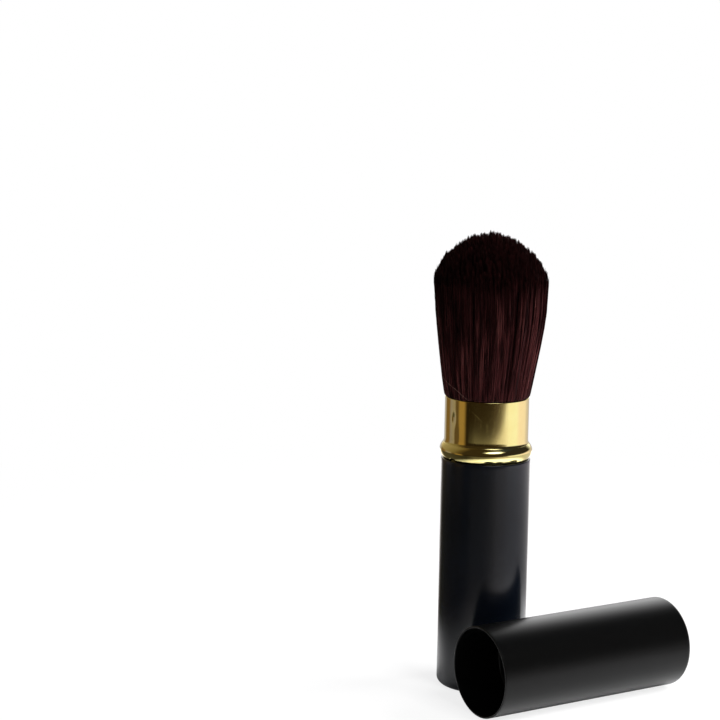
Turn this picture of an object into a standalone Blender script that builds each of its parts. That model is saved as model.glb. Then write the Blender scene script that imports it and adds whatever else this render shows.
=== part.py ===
"""Retractable makeup brush, standing open with its cap lying beside it.

Metres, +Z up. The origin is the centre of the flat foot, on the table. The
brush stands along +Z. Turning the neck against the base draws the brush head
down: two lugs on its carrier run in straight slots of the guide tube and in
helical grooves of the cam tube. The cap lies along +X, with its mouth at -X.
"""

import math

import bmesh
import bpy
from mathutils import Matrix

# Shared values
GAP = 0.0003
OVERRUN = 0.001
AROUND = 40
ARC_STEPS = 5
MERGE = 0.000001
SMOOTH_ANGLE = math.radians(35)

# Base shell, a drawn aluminium cup
BODY_RADIUS = 0.0110
BODY_HEIGHT = 0.0576
BODY_WALL = 0.00055
BODY_FOOT_ROUND = 0.0015
BODY_RIM_ROUND = 0.0002

# Plug in the foot, with the weight in its pocket
WEIGHT_HEIGHT = 0.0035
CORE_TOP_WALL = 0.00195

# Cam tube with its helical grooves
CAM_WALL = 0.0010
GROOVE_FLOOR = 0.0004
GROOVE_TOP_BAND = 0.0025
TWIST_TURNS = 1.5
GROOVE_STEPS_PER_TURN = 36
LUG_COUNT = 2

# Guide tube with its straight slots, and what it turns against
GUIDE_WALL = 0.0007
GUIDE_FLANGE_HEIGHT = 0.0008
GUIDE_TOP_ABOVE_BODY = 0.0042
FRICTION_RING_THICKNESS = 0.0006
FRICTION_RING_SIDES = 6
WASHER_HEIGHT = 0.0006

# Neck: plastic core, gold sleeve and gold collar ring
NECK_WALL = 0.0004
NECK_VISIBLE_HEIGHT = 0.0114
NECK_RIM_ROUND = 0.00015
NECK_FLANGE_HEIGHT = 0.0007
NECK_CORE_HEIGHT = 0.0096
RING_PROUD = 0.0004
RING_HEIGHT = 0.0036
RING_ARC_STEPS = 8

# Carrier with its lugs, ferrule and glue
LUG_RADIUS = 0.0010
LUG_TIP_CLEARANCE = 0.00025
LUG_SIDES = 20
CARRIER_SKIRT = 0.0038
CARRIER_SHOULDER = 0.0015
CARRIER_WALL = 0.0012
SPIGOT_HEIGHT = 0.0025
FERRULE_WALL = 0.0005
FERRULE_LIP = 0.0002
GLUE_HEIGHT = 0.0055

# Hair bundle
STRAND_COUNT = 340
STRAND_SIDES = 3
STRAND_FILL_SHARE = 0.36
BACKING_HEIGHT = 0.0012
HAIR_HIDDEN_DEPTH = 0.0010
HAIR_BELLY_RADIUS = 0.0138
HAIR_TOP_RADIUS = 0.0142
HAIR_SHOULDER_HEIGHT = 0.0060
DOME_HEIGHT = 0.0115
DOME_POWER = 2.8
GOLDEN_ANGLE = math.pi * (3 - math.sqrt(5))

# Cap, lying on the table, which goes over the neck and is flush with the body
CAP_WALL = 0.00045
CAP_CLEARANCE = 0.0002
CAP_STRAIGHT = 0.0554
CAP_DOME = 0.0038
CAP_EDGE_ROUND = 0.0012
CAP_MOUTH_X = -0.0159
CAP_AXIS_Y = -0.0225
LINER_WALL = 0.0006
LINER_CLEARANCE = 0.0010

# Radii of the nested pieces, from the shell inwards
BODY_INNER = BODY_RADIUS - BODY_WALL
FOOT_FLAT_RADIUS = BODY_RADIUS - BODY_FOOT_ROUND
WEIGHT_RADIUS = FOOT_FLAT_RADIUS - GAP
CAM_OUTER = BODY_INNER - GAP
CAM_INNER = CAM_OUTER - CAM_WALL
GROOVE_RADIUS = CAM_OUTER - GROOVE_FLOOR
GROOVE_HALF_WIDTH = LUG_RADIUS + GAP
GUIDE_OUTER = CAM_INNER - GAP
GUIDE_INNER = GUIDE_OUTER - GUIDE_WALL
HEAD_RADIUS = GUIDE_INNER - GAP
FERRULE_INNER = HEAD_RADIUS - FERRULE_WALL
FILL_RADIUS = FERRULE_INNER - GAP
LUG_REACH = GROOVE_RADIUS - LUG_TIP_CLEARANCE
CAP_RADIUS = BODY_RADIUS
CAP_INNER = CAP_RADIUS - CAP_WALL
LINER_OUTER = CAP_INNER - GAP
NECK_RADIUS = CAP_INNER - CAP_CLEARANCE
NECK_INNER = NECK_RADIUS - NECK_WALL
NECK_CORE_OUTER = NECK_INNER - GAP
RING_RADIUS = BODY_RADIUS + RING_PROUD
RING_INNER = NECK_RADIUS + GAP

# Heights of the base and neck: the cam tube fills the room between its two running rings
CORE_BOTTOM = BODY_WALL + GAP
CORE_TOP = CORE_BOTTOM + WEIGHT_HEIGHT + GAP + CORE_TOP_WALL
GUIDE_BOTTOM = CORE_TOP + GAP
GUIDE_TOP = BODY_HEIGHT + GUIDE_TOP_ABOVE_BODY
FRICTION_RING_BOTTOM = GUIDE_BOTTOM + GUIDE_FLANGE_HEIGHT + GAP
CAM_BOTTOM = FRICTION_RING_BOTTOM + FRICTION_RING_THICKNESS + GAP
COLLAR_BOTTOM = BODY_HEIGHT + GAP
NECK_BOTTOM = COLLAR_BOTTOM + GAP
NECK_TOP = COLLAR_BOTTOM + RING_HEIGHT + NECK_VISIBLE_HEIGHT
NECK_CORE_BOTTOM = COLLAR_BOTTOM - NECK_FLANGE_HEIGHT
WASHER_BOTTOM = NECK_CORE_BOTTOM - GAP - WASHER_HEIGHT
CAM_TOP = WASHER_BOTTOM - GAP
LINER_DEPTH = NECK_VISIBLE_HEIGHT + LINER_CLEARANCE

# Brush head when the brush is open, with its lugs at the top of the grooves. It sinks until its
# carrier rests on the plug, which draws the hair's tip in below the rim of the neck.
LUG_HEIGHT = CAM_TOP - GROOVE_TOP_BAND - GROOVE_HALF_WIDTH
CARRIER_BOTTOM = LUG_HEIGHT - CARRIER_SKIRT
TRAVEL = CARRIER_BOTTOM - CORE_TOP - GAP
LIFT_PER_RADIAN = TRAVEL / (2 * math.pi * TWIST_TURNS)
SHOULDER_TOP = LUG_HEIGHT + CARRIER_SHOULDER
FERRULE_BOTTOM = SHOULDER_TOP + GAP
GLUE_BOTTOM = SHOULDER_TOP + SPIGOT_HEIGHT + GAP
BACKING_BOTTOM = GLUE_BOTTOM + GLUE_HEIGHT + GAP
FERRULE_TOP = BACKING_BOTTOM + BACKING_HEIGHT + FERRULE_LIP
HAIR_TIP = NECK_TOP + TRAVEL - HAIR_HIDDEN_DEPTH
HAIR_BELLY = HAIR_TIP - DOME_HEIGHT - HAIR_SHOULDER_HEIGHT

# Sphere of the cap's dome and the centre of its rounded edge
DOME_SPHERE = (CAP_RADIUS**2 + CAP_DOME**2) / (2 * CAP_DOME)
DOME_CENTRE = CAP_STRAIGHT + CAP_DOME - DOME_SPHERE
EDGE_CENTRE_RADIUS = CAP_RADIUS - CAP_EDGE_ROUND
EDGE_CENTRE = DOME_CENTRE + math.sqrt((DOME_SPHERE - CAP_EDGE_ROUND) ** 2 - EDGE_CENTRE_RADIUS**2)
EDGE_ANGLE = math.degrees(math.acos(EDGE_CENTRE_RADIUS / (DOME_SPHERE - CAP_EDGE_ROUND)))


def clear_scene():
    for obj in list(bpy.data.objects):
        bpy.data.objects.remove(obj, do_unlink=True)


def new_collection(name):
    made = bpy.data.collections.new(name)
    bpy.context.scene.collection.children.link(made)
    return made


def finish(name, red, green, blue, roughness, metallic=0.0):
    """A Principled material from an sRGB colour of 0 to 255."""
    linear = [((c / 255 + 0.055) / 1.055) ** 2.4 if c > 10 else c / 255 / 12.92 for c in (red, green, blue)]
    made = bpy.data.materials.new(name)
    made.use_nodes = True
    shader = made.node_tree.nodes["Principled BSDF"]
    shader.inputs["Base Color"].default_value = (*linear, 1.0)
    shader.inputs["Roughness"].default_value = roughness
    shader.inputs["Metallic"].default_value = metallic
    made.diffuse_color = (*linear, 1.0)
    return made


def empty(name, location=(0, 0, 0), rotation=(0, 0, 0)):
    """An empty on a joint's axis, which carries what moves there."""
    made = bpy.data.objects.new(name, None)
    made.location = location
    made.rotation_euler = rotation
    bpy.context.scene.collection.objects.link(made)
    return made


def place(mesh, name, collection, material=None, parent=None, height=0.0):
    """An object for a mesh, raised to its height on the axis of its parent."""
    mesh.name = name
    mesh.materials.clear()
    if material:
        mesh.materials.append(material)
    made = bpy.data.objects.new(name, mesh)
    made.parent = parent
    made.location.z = height
    collection.objects.link(made)
    return made


def evaluated_mesh(obj):
    bpy.context.view_layer.update()
    return bpy.data.meshes.new_from_object(obj.evaluated_get(bpy.context.evaluated_depsgraph_get()))


def arc(centre, radii, start, end, steps=ARC_STEPS):
    """Points (radius, height) on an elliptical arc about centre, from start to end degrees."""
    points = []
    for i in range(steps + 1):
        angle = math.radians(start + (end - start) * i / steps)
        points.append((centre[0] + radii[0] * math.cos(angle), centre[1] + radii[1] * math.sin(angle)))
    return points


def tube(outer, inner, height):
    """The closed profile of a plain tube, its outer side running down."""
    return [(outer, height), (outer, 0), (inner, 0), (inner, height)]


def turned(profile, closed=False):
    """The mesh of a profile of (radius, height) points turned about Z."""
    mesh = bpy.data.meshes.new("profile")
    edges = [(i, i + 1) for i in range(len(profile) - 1)]
    if closed:
        edges.append((len(profile) - 1, 0))
    mesh.from_pydata([(radius, 0, height) for radius, height in profile], edges, [])
    outline = bpy.data.objects.new("profile", mesh)
    bpy.context.scene.collection.objects.link(outline)
    screw = outline.modifiers.new("Turn", "SCREW")
    screw.steps = AROUND
    screw.render_steps = AROUND
    screw.use_merge_vertices = True
    screw.merge_threshold = MERGE
    made = evaluated_mesh(outline)
    bpy.data.objects.remove(outline, do_unlink=True)
    made.shade_smooth()
    made.set_sharp_from_angle(angle=SMOOTH_ANGLE)
    return made


def cylinder(radius, height, sides=AROUND, turn=Matrix()):
    """A closed cylinder that stands on the ground before it is turned."""
    mesh = bpy.data.meshes.new("cylinder")
    shape = bmesh.new()
    raised = turn @ Matrix.Translation((0, 0, height / 2))
    bmesh.ops.create_cone(
        shape, cap_ends=True, segments=sides, radius1=radius, radius2=radius, depth=height, matrix=raised
    )
    shape.to_mesh(mesh)
    shape.free()
    mesh.shade_smooth()
    mesh.set_sharp_from_angle(angle=SMOOTH_ANGLE)
    return mesh


def boolean(obj, other, operation):
    """A live Boolean with a helper object, which is left out of the render."""
    other.hide_render = True
    other.display_type = "WIRE"
    modifier = obj.modifiers.new(operation.title(), "BOOLEAN")
    modifier.operation = operation
    modifier.solver = "EXACT"
    modifier.object = other


def lug_angle(i):
    return 2 * math.pi * i / LUG_COUNT


def lug_turn(i):
    return Matrix.Rotation(lug_angle(i), 4, "Z")


def build_base(parts, cutters, black_metal, steel, plastic):
    foot = (FOOT_FLAT_RADIUS, BODY_FOOT_ROUND)
    inner_round = BODY_FOOT_ROUND - BODY_WALL
    rim = (BODY_RADIUS - BODY_RIM_ROUND, BODY_HEIGHT - BODY_RIM_ROUND)
    profile = [(0, BODY_WALL)]
    profile += arc(foot, (inner_round, inner_round), -90, 0)
    profile += [(BODY_INNER, BODY_HEIGHT)]
    profile += arc(rim, (BODY_RIM_ROUND, BODY_RIM_ROUND), 90, 0, 2)
    profile += arc(foot, (BODY_FOOT_ROUND, BODY_FOOT_ROUND), 0, -90)
    profile += [(0, 0)]
    place(turned(profile), "base_shell", parts, black_metal)

    # The plug's lower edge follows the round of the shell, one gap inside it, down to the pocket.
    core_round = inner_round - GAP
    pocket_top = CORE_BOTTOM + WEIGHT_HEIGHT + GAP
    profile = [(0, CORE_TOP), (CAM_OUTER, CORE_TOP)]
    profile += arc(foot, (core_round, core_round), 0, -90)
    profile += [(FOOT_FLAT_RADIUS, pocket_top), (0, pocket_top)]
    place(turned(profile), "base_core", parts, plastic)
    place(cylinder(WEIGHT_RADIUS, WEIGHT_HEIGHT), "base_weight", parts, steel, height=CORE_BOTTOM)

    sleeve = turned(tube(CAM_OUTER, CAM_INNER, CAM_TOP - CAM_BOTTOM), True)
    cam = place(sleeve, "cam_tube", parts, plastic, height=CAM_BOTTOM)
    for i in range(LUG_COUNT):
        groove = place(helical_groove(lug_angle(i)), f"groove_cutter_{i}", cutters)
        boolean(cam, groove, "DIFFERENCE")


def helical_groove(start_angle):
    """The mesh of one groove's cutter: a rectangle swept along the path of a lug.

    A point of the path at turn t lies at angle start + t and at the lug's height less the lift times t. The
    path runs past both ends of the travel by the lug's radius and a gap.
    """
    inner = CAM_INNER - OVERRUN
    middle = (GROOVE_RADIUS + inner) / 2
    overtravel = GROOVE_HALF_WIDTH / math.hypot(middle, LIFT_PER_RADIAN)
    last = 2 * math.pi * TWIST_TURNS + overtravel
    steps = math.ceil(GROOVE_STEPS_PER_TURN * TWIST_TURNS)

    section = bpy.data.curves.new("groove_section", "CURVE")
    section.dimensions = "2D"
    outline = section.splines.new("POLY")
    outline.points.add(3)
    outline.use_cyclic_u = True
    half_depth = (GROOVE_RADIUS - inner) / 2
    corners = ((-1, -1), (1, -1), (1, 1), (-1, 1))
    for point, (along, across) in zip(outline.points, corners):
        point.co = (along * half_depth, across * GROOVE_HALF_WIDTH, 0, 1)
    section_object = bpy.data.objects.new("groove_section", section)
    bpy.context.scene.collection.objects.link(section_object)

    curve = bpy.data.curves.new("groove_path", "CURVE")
    curve.dimensions = "3D"
    curve.twist_mode = "Z_UP"
    curve.bevel_mode = "OBJECT"
    curve.bevel_object = section_object
    curve.use_fill_caps = True
    path = curve.splines.new("POLY")
    path.points.add(steps)
    for i, point in enumerate(path.points):
        turn = -overtravel + (last + overtravel) * i / steps
        angle = start_angle + turn
        height = LUG_HEIGHT - LIFT_PER_RADIAN * turn
        point.co = (middle * math.cos(angle), middle * math.sin(angle), height, 1)
    path_object = bpy.data.objects.new("groove_path", curve)
    bpy.context.scene.collection.objects.link(path_object)

    mesh = evaluated_mesh(path_object)
    shape = bmesh.new()
    shape.from_mesh(mesh)
    bmesh.ops.remove_doubles(shape, verts=shape.verts, dist=MERGE)
    bmesh.ops.recalc_face_normals(shape, faces=shape.faces)
    shape.to_mesh(mesh)
    shape.free()
    bpy.data.objects.remove(path_object, do_unlink=True)
    bpy.data.objects.remove(section_object, do_unlink=True)
    return mesh


def build_neck(parts, cutters, gold, plastic, silicone):
    axis = empty("neck_axis")
    height = GUIDE_TOP - GUIDE_BOTTOM
    profile = [
        (GUIDE_OUTER, height),
        (GUIDE_OUTER, GUIDE_FLANGE_HEIGHT),
        (CAM_OUTER, GUIDE_FLANGE_HEIGHT),
        (CAM_OUTER, 0),
        (GUIDE_INNER, 0),
        (GUIDE_INNER, height),
    ]
    guide = place(turned(profile, True), "guide_tube", parts, plastic, axis, GUIDE_BOTTOM)
    slot_reach = GUIDE_OUTER + OVERRUN
    size = Matrix.Diagonal((slot_reach, 2 * GROOVE_HALF_WIDTH, TRAVEL + 2 * GROOVE_HALF_WIDTH, 1))
    for i in range(LUG_COUNT):
        shape = bmesh.new()
        outwards = lug_turn(i) @ Matrix.Translation((slot_reach / 2, 0, 0))
        bmesh.ops.create_cube(shape, size=1, matrix=outwards @ size)
        mesh = bpy.data.meshes.new("slot_cutter")
        shape.to_mesh(mesh)
        shape.free()
        slot = place(mesh, f"slot_cutter_{i}", cutters, height=LUG_HEIGHT - TRAVEL / 2)
        boolean(guide, slot, "DIFFERENCE")

    bpy.ops.mesh.primitive_torus_add(
        major_segments=AROUND,
        minor_segments=FRICTION_RING_SIDES,
        major_radius=(CAM_OUTER + CAM_INNER) / 2,
        minor_radius=FRICTION_RING_THICKNESS / 2,
    )
    torus = bpy.context.object
    ring_mesh = torus.data
    bpy.data.objects.remove(torus, do_unlink=True)
    ring_mesh.shade_smooth()
    middle = FRICTION_RING_BOTTOM + FRICTION_RING_THICKNESS / 2
    place(ring_mesh, "friction_ring", parts, silicone, axis, middle)
    washer = turned(tube(CAM_OUTER, CAM_INNER, WASHER_HEIGHT), True)
    place(washer, "thrust_washer", parts, plastic, axis, WASHER_BOTTOM)

    core_inner = GUIDE_OUTER + GAP
    profile = [
        (NECK_CORE_OUTER, NECK_CORE_HEIGHT),
        (NECK_CORE_OUTER, NECK_FLANGE_HEIGHT),
        (CAM_OUTER, NECK_FLANGE_HEIGHT),
        (CAM_OUTER, 0),
        (core_inner, 0),
        (core_inner, NECK_CORE_HEIGHT),
    ]
    place(turned(profile, True), "neck_core", parts, plastic, axis, NECK_CORE_BOTTOM)

    height = NECK_TOP - NECK_BOTTOM
    rim = (NECK_RADIUS - NECK_RIM_ROUND, height - NECK_RIM_ROUND)
    profile = arc(rim, (NECK_RIM_ROUND, NECK_RIM_ROUND), 90, 0, 2)
    profile += [(NECK_RADIUS, 0), (NECK_INNER, 0), (NECK_INNER, height)]
    place(turned(profile, True), "neck_sleeve", parts, gold, axis, NECK_BOTTOM)

    bead = (RING_RADIUS - RING_INNER, RING_HEIGHT / 2)
    profile = arc((RING_INNER, RING_HEIGHT / 2), bead, 90, -90, RING_ARC_STEPS)
    place(turned(profile, True), "collar_ring", parts, gold, axis, COLLAR_BOTTOM)


def build_head(parts, cutters, metal, plastic, glue, hair):
    axis = empty("head_axis")
    height = SHOULDER_TOP + SPIGOT_HEIGHT - CARRIER_BOTTOM
    shoulder = SHOULDER_TOP - CARRIER_BOTTOM
    hollow = CARRIER_SKIRT - LUG_RADIUS - GAP
    hollow_radius = HEAD_RADIUS - CARRIER_WALL
    profile = [
        (0, height),
        (FILL_RADIUS, height),
        (FILL_RADIUS, shoulder),
        (HEAD_RADIUS, shoulder),
        (HEAD_RADIUS, 0),
        (hollow_radius, 0),
        (hollow_radius, hollow),
        (0, hollow),
    ]
    carrier = place(turned(profile), "brush_carrier", parts, plastic, axis, CARRIER_BOTTOM)
    for i in range(LUG_COUNT):
        outwards = lug_turn(i) @ Matrix.Rotation(math.pi / 2, 4, "Y")
        pin = cylinder(LUG_RADIUS, LUG_REACH, LUG_SIDES, outwards)
        lug = place(pin, f"lug_{i}", cutters, height=LUG_HEIGHT)
        boolean(carrier, lug, "UNION")

    sleeve = turned(tube(HEAD_RADIUS, FERRULE_INNER, FERRULE_TOP - FERRULE_BOTTOM), True)
    place(sleeve, "brush_ferrule", parts, metal, axis, FERRULE_BOTTOM)
    place(cylinder(FILL_RADIUS, GLUE_HEIGHT), "glue_plug", parts, glue, axis, GLUE_BOTTOM)
    backing = place(cylinder(FILL_RADIUS, BACKING_HEIGHT), "bristles", parts, hair, axis, BACKING_BOTTOM)
    strands = place(strand_bundle(), "strands", cutters, hair)
    boolean(backing, strands, "UNION")


def strand_bundle():
    """The mesh of all strands, each a three-sided taper that ends on the dome.

    The strands keep one sunflower pattern on a unit disc: strand i lies at the square root of (i + 1/2) / n
    from the middle, one golden angle on from the last. At each height the pattern is scaled by the radius
    of the bundle, which is straight between the heights of its rings, so no two strands cross. A strand at
    share s of the radius ends the dome's height times s to the dome's power below the tip.
    """
    strand_share = STRAND_FILL_SHARE * math.sqrt(math.pi / STRAND_COUNT)
    root = BACKING_BOTTOM + BACKING_HEIGHT / 2
    root_radius = (FILL_RADIUS - GAP) / (1 + strand_share)
    rim_radius = (NECK_INNER - GAP) / (1 + strand_share)
    rings = ((root, root_radius), (NECK_TOP, rim_radius), (HAIR_BELLY, HAIR_BELLY_RADIUS))
    points = []
    faces = []
    for i in range(STRAND_COUNT):
        share = math.sqrt((i + 0.5) / STRAND_COUNT)
        angle = i * GOLDEN_ANGLE
        x, y = share * math.cos(angle), share * math.sin(angle)
        first = len(points)
        for height, radius in rings:
            for side in range(STRAND_SIDES):
                corner = angle + 2 * math.pi * side / STRAND_SIDES
                across = radius * (x + strand_share * math.cos(corner))
                along = radius * (y + strand_share * math.sin(corner))
                points.append((across, along, height))
        end = HAIR_TIP - DOME_HEIGHT * share**DOME_POWER
        rise = (end - HAIR_BELLY) / (HAIR_TIP - HAIR_BELLY)
        end_radius = HAIR_BELLY_RADIUS + (HAIR_TOP_RADIUS - HAIR_BELLY_RADIUS) * rise
        points.append((end_radius * x, end_radius * y, end))

        faces.append([first + side for side in reversed(range(STRAND_SIDES))])
        for ring in range(len(rings)):
            for side in range(STRAND_SIDES):
                low = first + ring * STRAND_SIDES + side
                next_low = first + ring * STRAND_SIDES + (side + 1) % STRAND_SIDES
                if ring < len(rings) - 1:
                    faces.append((low, next_low, next_low + STRAND_SIDES, low + STRAND_SIDES))
                else:
                    faces.append((low, next_low, len(points) - 1))
    mesh = bpy.data.meshes.new("strands")
    mesh.from_pydata(points, [], faces)
    return mesh


def build_cap(parts, black_metal, plastic):
    """The cap's local +Z runs from its mouth to its closed end, along world +X."""
    axis = empty("cap_axis", (CAP_MOUTH_X, CAP_AXIS_Y, CAP_RADIUS), (0, math.pi / 2, 0))
    edge = (EDGE_CENTRE_RADIUS, EDGE_CENTRE)
    inner_sphere = DOME_SPHERE - CAP_WALL
    inner_round = CAP_EDGE_ROUND - CAP_WALL
    profile = arc((0, DOME_CENTRE), (DOME_SPHERE, DOME_SPHERE), 90, EDGE_ANGLE, ARC_STEPS - 1)
    profile += arc(edge, (CAP_EDGE_ROUND, CAP_EDGE_ROUND), EDGE_ANGLE, 0, 2)[1:]
    profile += [(CAP_RADIUS, 0), (CAP_INNER, 0)]
    profile += arc(edge, (inner_round, inner_round), 0, EDGE_ANGLE, 2)
    profile += arc((0, DOME_CENTRE), (inner_sphere, inner_sphere), EDGE_ANGLE, 90, ARC_STEPS - 1)[1:]
    place(turned(profile), "cap_shell", parts, black_metal, axis)

    length = EDGE_CENTRE - LINER_DEPTH
    bore = LINER_OUTER - LINER_WALL
    floor = length - LINER_WALL
    profile = [(0, length), (LINER_OUTER, length), (LINER_OUTER, 0), (bore, 0), (bore, floor), (0, floor)]
    place(turned(profile), "cap_liner", parts, plastic, axis, LINER_DEPTH)


def main():
    clear_scene()
    parts = new_collection("Retractable makeup brush")
    cutters = new_collection("Cutters")
    cutters.hide_render = True
    black_metal = finish("Black anodised aluminium", 22, 23, 26, 0.38, 0.6)
    gold = finish("Gold anodised aluminium", 214, 168, 84, 0.15, 1.0)
    aluminium = finish("Plain aluminium", 190, 192, 196, 0.35, 1.0)
    steel = finish("Zinc plated steel", 150, 154, 160, 0.4, 1.0)
    black_plastic = finish("Black ABS", 20, 20, 21, 0.5)
    white_plastic = finish("White acetal", 225, 225, 220, 0.45)
    silicone = finish("Grey silicone", 120, 122, 124, 0.7)
    glue = finish("Amber epoxy", 150, 110, 50, 0.3)
    hair = finish("Dark brown hair", 42, 20, 22, 0.55)

    build_base(parts, cutters, black_metal, steel, black_plastic)
    build_neck(parts, cutters, gold, white_plastic, silicone)
    build_head(parts, cutters, aluminium, white_plastic, glue, hair)
    build_cap(parts, black_metal, black_plastic)


main()
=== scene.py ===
"""A twist-up powder brush that stands open beside its cap, with its finishes, light and camera.

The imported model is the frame. The black shells, the gold neck and ring, the cap and the hair get fine
surfaces, and the pieces of the mechanism get their finishes. Lengths are in metres unless a name says mm.
"""

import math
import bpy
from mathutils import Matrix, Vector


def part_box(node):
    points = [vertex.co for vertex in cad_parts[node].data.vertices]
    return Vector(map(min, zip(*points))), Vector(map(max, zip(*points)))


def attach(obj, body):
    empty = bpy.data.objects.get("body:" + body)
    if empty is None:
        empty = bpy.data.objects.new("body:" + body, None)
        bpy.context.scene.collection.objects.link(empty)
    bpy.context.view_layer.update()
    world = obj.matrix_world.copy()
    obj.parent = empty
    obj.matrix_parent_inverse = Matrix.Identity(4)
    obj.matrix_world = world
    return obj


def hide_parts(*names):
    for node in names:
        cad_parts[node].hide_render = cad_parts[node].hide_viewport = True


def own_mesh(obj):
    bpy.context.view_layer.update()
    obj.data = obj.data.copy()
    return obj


bl_info = {
    "name": "Retractable makeup brush",
    "version": (1, 0, 0),
    "blender": (4, 5, 0),
    "location": "View3D > Sidebar > Makeup brush",
    "description": "Builds the shells, neck, hair, finishes and stage of a twist-up powder brush",
    "category": "Object",
}

import bpy
import numpy as np
from mathutils import Matrix, Vector

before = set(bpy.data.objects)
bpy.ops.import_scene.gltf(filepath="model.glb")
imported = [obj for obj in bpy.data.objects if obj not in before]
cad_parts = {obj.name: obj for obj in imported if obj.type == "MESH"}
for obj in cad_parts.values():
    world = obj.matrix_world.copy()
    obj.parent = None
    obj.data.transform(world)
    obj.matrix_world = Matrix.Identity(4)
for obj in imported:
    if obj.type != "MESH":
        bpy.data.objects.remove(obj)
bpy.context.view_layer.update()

MM = 0.001
SURFACE_MAP = "OFBake"

# Places and sizes that the frame gives
BODY_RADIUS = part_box("base_shell")[1].x
BODY_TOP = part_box("base_shell")[1].z
RING_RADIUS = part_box("collar_ring")[1].x
RING_BOTTOM, RING_TOP = (corner.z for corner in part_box("collar_ring"))
NECK_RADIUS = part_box("neck_sleeve")[1].x
NECK_BOTTOM, NECK_TOP = (corner.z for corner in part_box("neck_sleeve"))
HAIR_ROOT, HAIR_TIP = (corner.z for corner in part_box("bristles"))
CAP_MOUTH, CAP_END = (corner.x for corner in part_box("cap_shell"))
CAP_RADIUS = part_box("cap_shell")[1].z / 2
CAP_AXIS_Y = (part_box("cap_shell")[0].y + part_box("cap_shell")[1].y) / 2
LINER_MOUTH, LINER_END = (corner.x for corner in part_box("cap_liner"))
LINER_RADIUS = (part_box("cap_liner")[1].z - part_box("cap_liner")[0].z) / 2

# The cap's own axis runs from its mouth to its closed end, along world X
CAP_PLACE = Matrix.Translation((CAP_MOUTH, CAP_AXIS_Y, CAP_RADIUS)) @ Matrix.Rotation(math.pi / 2, 4, "Y")

# The outline of the hair: heights above the neck's upper edge, and radii there, in mm
HAIR_OUTLINE = np.array(
    ((-10.6, 6.85), (-0.6, 9.7), (-0.25, 9.8), (0.02, 9.95), (0.15, 10.25), (0.45, 10.5), (1.2, 10.68))
    + ((3.9, 11.2), (7.9, 11.86), (11.8, 12.48), (15.8, 13.06), (19.8, 13.68), (23.7, 13.86), (28.5, 14.2))
)

# The side of the brush that faces the camera, as an angle from world X
FRONT_ANGLE = math.radians(-124.78)

# The window that the gold shows: its middle, as degrees to the right of the camera and the sine of the
# elevation, and its reach from there, as degrees round and as a sine up
WINDOW_TURN, WINDOW_HEIGHT = 27, 0.72
WINDOW_ROUND, WINDOW_UP = 40, 0.15

# The setting of a Map Range node that makes it a smooth step
SMOOTH = {"interpolation_type": "SMOOTHSTEP"}


def linear(code):
    """An sRGB hex value as a linear colour with alpha 1."""
    channels = np.array([int(code[i : i + 2], 16) for i in (0, 2, 4)]) / 255
    bright = ((channels + 0.055) / 1.055) ** 2.4
    return (*np.where(channels > 0.04045, bright, channels / 12.92).tolist(), 1.0)


def length(name, description, millimetres):
    """A length setting, from its default in mm."""
    return bpy.props.FloatProperty(
        name=name, description=description, default=millimetres * MM, unit="LENGTH", precision=5
    )


def share(name, description, default):
    """A setting from 0 to 1."""
    return bpy.props.FloatProperty(
        name=name, description=description, default=default, min=0.0, max=1.0, subtype="FACTOR"
    )


def angle(name, description, degrees):
    """An angle setting, from its default in degrees."""
    return bpy.props.FloatProperty(
        name=name, description=description, default=math.radians(degrees), subtype="ANGLE"
    )


def count(name, description, default):
    """A whole number setting of 1 or more."""
    return bpy.props.IntProperty(name=name, description=description, default=default, min=1)


def colour(name, description, code):
    """A colour setting, from its default as an sRGB hex value."""
    return bpy.props.FloatVectorProperty(
        name=name, description=description, default=linear(code), size=4, min=0.0, max=1.0, subtype="COLOR"
    )


class BrushShellSettings(bpy.types.PropertyGroup):
    """The black shells of the body and of the cap, and the cap's liner."""

    dye: colour("Dye", "Colour of the black dye in the anodised layer", "05080E")
    roughness: share("Roughness", "Roughness of the satin anodised surface", 0.18)
    sides: count("Sides", "Flat sides of each round shell", 192)
    body_wall: length("Body wall", "Wall of the drawn body", 0.55)
    foot_round: length("Foot round", "Round at the closed foot of the body", 1.5)
    edge_round: length("Edge round", "Round on the body's outer upper edge", 0.38)
    rim_round: length("Rim round", "Round on the other open edges of the body and the cap", 0.15)
    cap_wall: length("Cap wall", "Wall of the drawn cap", 0.45)
    cap_dome: length("Cap dome", "Height of the dome that closes the cap", 3.8)
    cap_edge_round: length("Cap edge round", "Round between the cap's side and its dome", 1.2)
    liner_wall: length("Liner wall", "Wall of the plastic cup inside the cap", 0.6)


class BrushNeckSettings(bpy.types.PropertyGroup):
    """The gold neck and the gold ring under it."""

    gold: colour("Gold", "Colour of the gold anodised metal where it shows white", "FDF0A6")
    roughness: share("Roughness", "Roughness of the polished gold", 0.08)
    sides: count("Sides", "Flat sides of the neck and the ring", 384)
    wall: length("Neck wall", "Wall of the neck sleeve", 0.4)
    rim_round: length("Rim round", "Round on the neck's upper edge", 0.15)
    dent_depth: length("Dent depth", "Depth of the small dent in the neck", 0.12)
    nick_depth: length("Nick depth", "How far the worn lower edge of the ring is lifted", 0.3)
    bead_middle: length("Bead middle", "Height of the ring's widest place over its lower edge", 1.8)
    bead_power: bpy.props.FloatProperty(
        name="Bead power", description="Power of the bead's lower curve: 2 is round, 1 is a cone", default=1.5
    )
    ring_lap: length("Ring lap", "How far the ring reaches down over the gap to the body", 0.2)
    swell_height: length("Swell height", "How far above the ring the neck begins to swell towards it", 1.55)


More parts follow.
